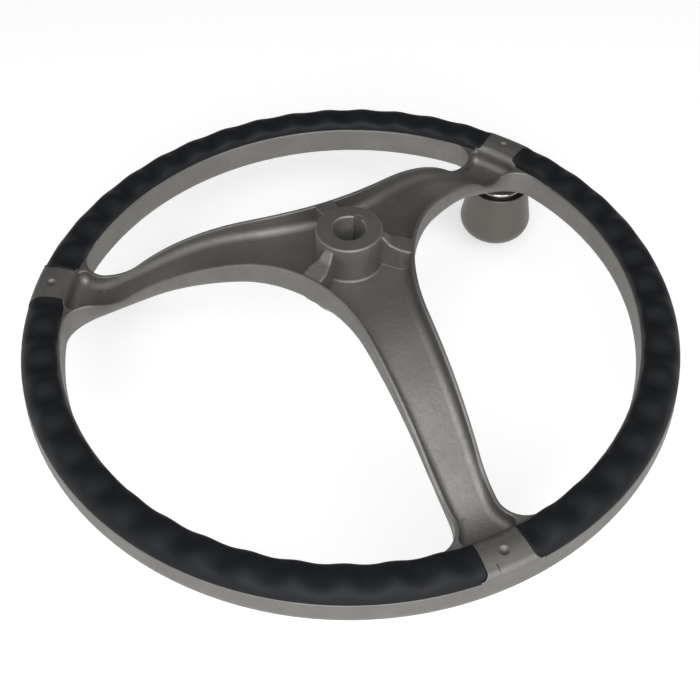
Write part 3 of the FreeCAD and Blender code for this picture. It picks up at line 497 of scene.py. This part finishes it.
def make_grips(material):
    """Grips with deep finger hollows, in place of the plainer solids."""
    for number in range(1, GRIPS + 1):
        middle = GRIP_STEP * (number - 0.5)
        mesh = bmesh.new()
        add_strip(mesh, middle)
        add_tongue(mesh, middle)
        bmesh.ops.recalc_face_normals(mesh, faces=mesh.faces)
        grip = to_object(mesh, "moulded_grip_%d" % number)
        grip.data.shade_smooth()
        grip.data.set_sharp_from_angle(angle=GRIP_SHARP_EDGE)
        grip.data.materials.append(material)
        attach(grip, "wheel")
        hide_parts("finger_grip_%d" % number)


def floor_material():
    """Plain matte, with a glow that the camera, reflections and clear things see."""
    nodes = Nodes("floor")
    matte = nodes.add("BsdfDiffuse")
    matte.inputs["Color"].default_value = (FLOOR_SHADE, FLOOR_SHADE, FLOOR_SHADE, 1)
    glow = nodes.add("Emission")
    glow.inputs["Color"].default_value = (1, 1, 1, 1)
    glow.inputs["Strength"].default_value = FLOOR_GLOW
    both = nodes.add("AddShader")
    nodes.link(matte.outputs["BSDF"], both.inputs[0])
    nodes.link(glow.outputs["Emission"], both.inputs[1])
    path = nodes.add("LightPath")
    reflected = nodes.math("MAXIMUM", path.outputs["Is Glossy Ray"],
                           path.outputs["Is Transmission Ray"])
    seen = nodes.math("MAXIMUM", path.outputs["Is Camera Ray"], reflected)
    choice = nodes.add("MixShader")
    nodes.link(seen, choice.inputs["Fac"])
    nodes.link(matte.outputs["BSDF"], choice.inputs[1])
    nodes.link(both.outputs["Shader"], choice.inputs[2])
    nodes.link(choice.outputs["Shader"], nodes.output.inputs["Surface"])
    return nodes.material


def make_floor(cad_box):
    """Pale round floor below the wheel, with a low wall round its edge."""
    mesh = bmesh.new()
    bmesh.ops.create_circle(mesh, cap_ends=True, radius=BACKDROP_RADIUS, segments=BACKDROP_SIDES)
    raised = bmesh.ops.extrude_edge_only(mesh, edges=mesh.edges[:])["geom"]
    wall_top = [piece for piece in raised if isinstance(piece, bmesh.types.BMVert)]
    bmesh.ops.translate(mesh, verts=wall_top, vec=(0, 0, BACKDROP_HEIGHT))
    floor = to_object(mesh, "floor")
    floor.location.z = min(corner[2] for corner in cad_box) - FLOOR_GAP
    floor.data.materials.append(floor_material())


def make_world():
    """A faint even light from all round, and colours shown as they are."""
    bpy.context.scene.view_settings.view_transform = "Standard"
    world = bpy.data.worlds.new("studio")
    bpy.context.scene.world = world
    world.use_nodes = True
    background = world.node_tree.nodes["Background"]
    background.inputs["Color"].default_value = (1, 1, 1, 1)
    background.inputs["Strength"].default_value = WORLD_STRENGTH


def direction_to(azimuth, elevation):
    """Unit vector that points at an azimuth and an elevation, both in radians."""
    level = math.cos(elevation)
    return Vector((level * math.cos(azimuth), level * math.sin(azimuth), math.sin(elevation)))


def area_lamp(name, azimuth, elevation, power, size=LAMP_SIZE):
    """Soft box that faces the wheel, at two angles in degrees, with its power in watts."""
    data = bpy.data.lights.new(name, "AREA")
    data.size = size
    data.energy = power
    lamp = bpy.data.objects.new(name, data)
    bpy.context.scene.collection.objects.link(lamp)
    direction = direction_to(math.radians(azimuth), math.radians(elevation))
    lamp.location = direction * LAMP_DISTANCE
    lamp.rotation_euler = direction.to_track_quat("Z", "Y").to_euler()
    lamp.visible_camera = False


def make_lamps():
    """Key lamps to the left and right of the camera, and weaker ones above, beside and low."""
    area_lamp("key_left", 204, 40, 27)
    area_lamp("key_right", 258, 40, 16)
    area_lamp("top", 216, 85, 7)
    area_lamp("side_left", 126, 15, 5)
    area_lamp("low_front", 226, 12, 3, size=SMALL_LAMP_SIZE)


def make_camera():
    """Camera at the photograph's angle, in the photograph's frame."""
    data = bpy.data.cameras.new("camera")
    data.sensor_width = SENSOR_MM
    data.lens = FOCAL_PX * SENSOR_MM / FRAME_PX
    data.clip_start = CAMERA_NEAREST
    camera = bpy.data.objects.new("camera", data)
    bpy.context.scene.collection.objects.link(camera)
    camera.location = (direction_to(CAMERA_AZIMUTH, CAMERA_ELEVATION) * CAMERA_DISTANCE
                       + Vector((0, 0, SEAM_HEIGHT)))
    looking = (AIM - camera.location).to_track_quat("-Z", "Y").to_matrix()
    rolled = looking @ Matrix.Rotation(-CAMERA_ROLL, 3, "Z")
    camera.rotation_euler = rolled.to_euler()
    bpy.context.scene.camera = camera


with open("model.json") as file:
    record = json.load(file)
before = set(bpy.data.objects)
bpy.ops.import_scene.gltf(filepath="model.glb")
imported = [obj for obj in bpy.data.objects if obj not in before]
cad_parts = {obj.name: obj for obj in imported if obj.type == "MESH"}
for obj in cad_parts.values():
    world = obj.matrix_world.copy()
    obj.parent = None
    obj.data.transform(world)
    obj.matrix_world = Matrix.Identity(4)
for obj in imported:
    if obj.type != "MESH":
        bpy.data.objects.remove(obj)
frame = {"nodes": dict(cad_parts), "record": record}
cad_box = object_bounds()
materials = make_materials()
dress(frame, materials)
make_grips(materials["grip"])
make_floor(cad_box)
make_world()
make_lamps()
make_camera()
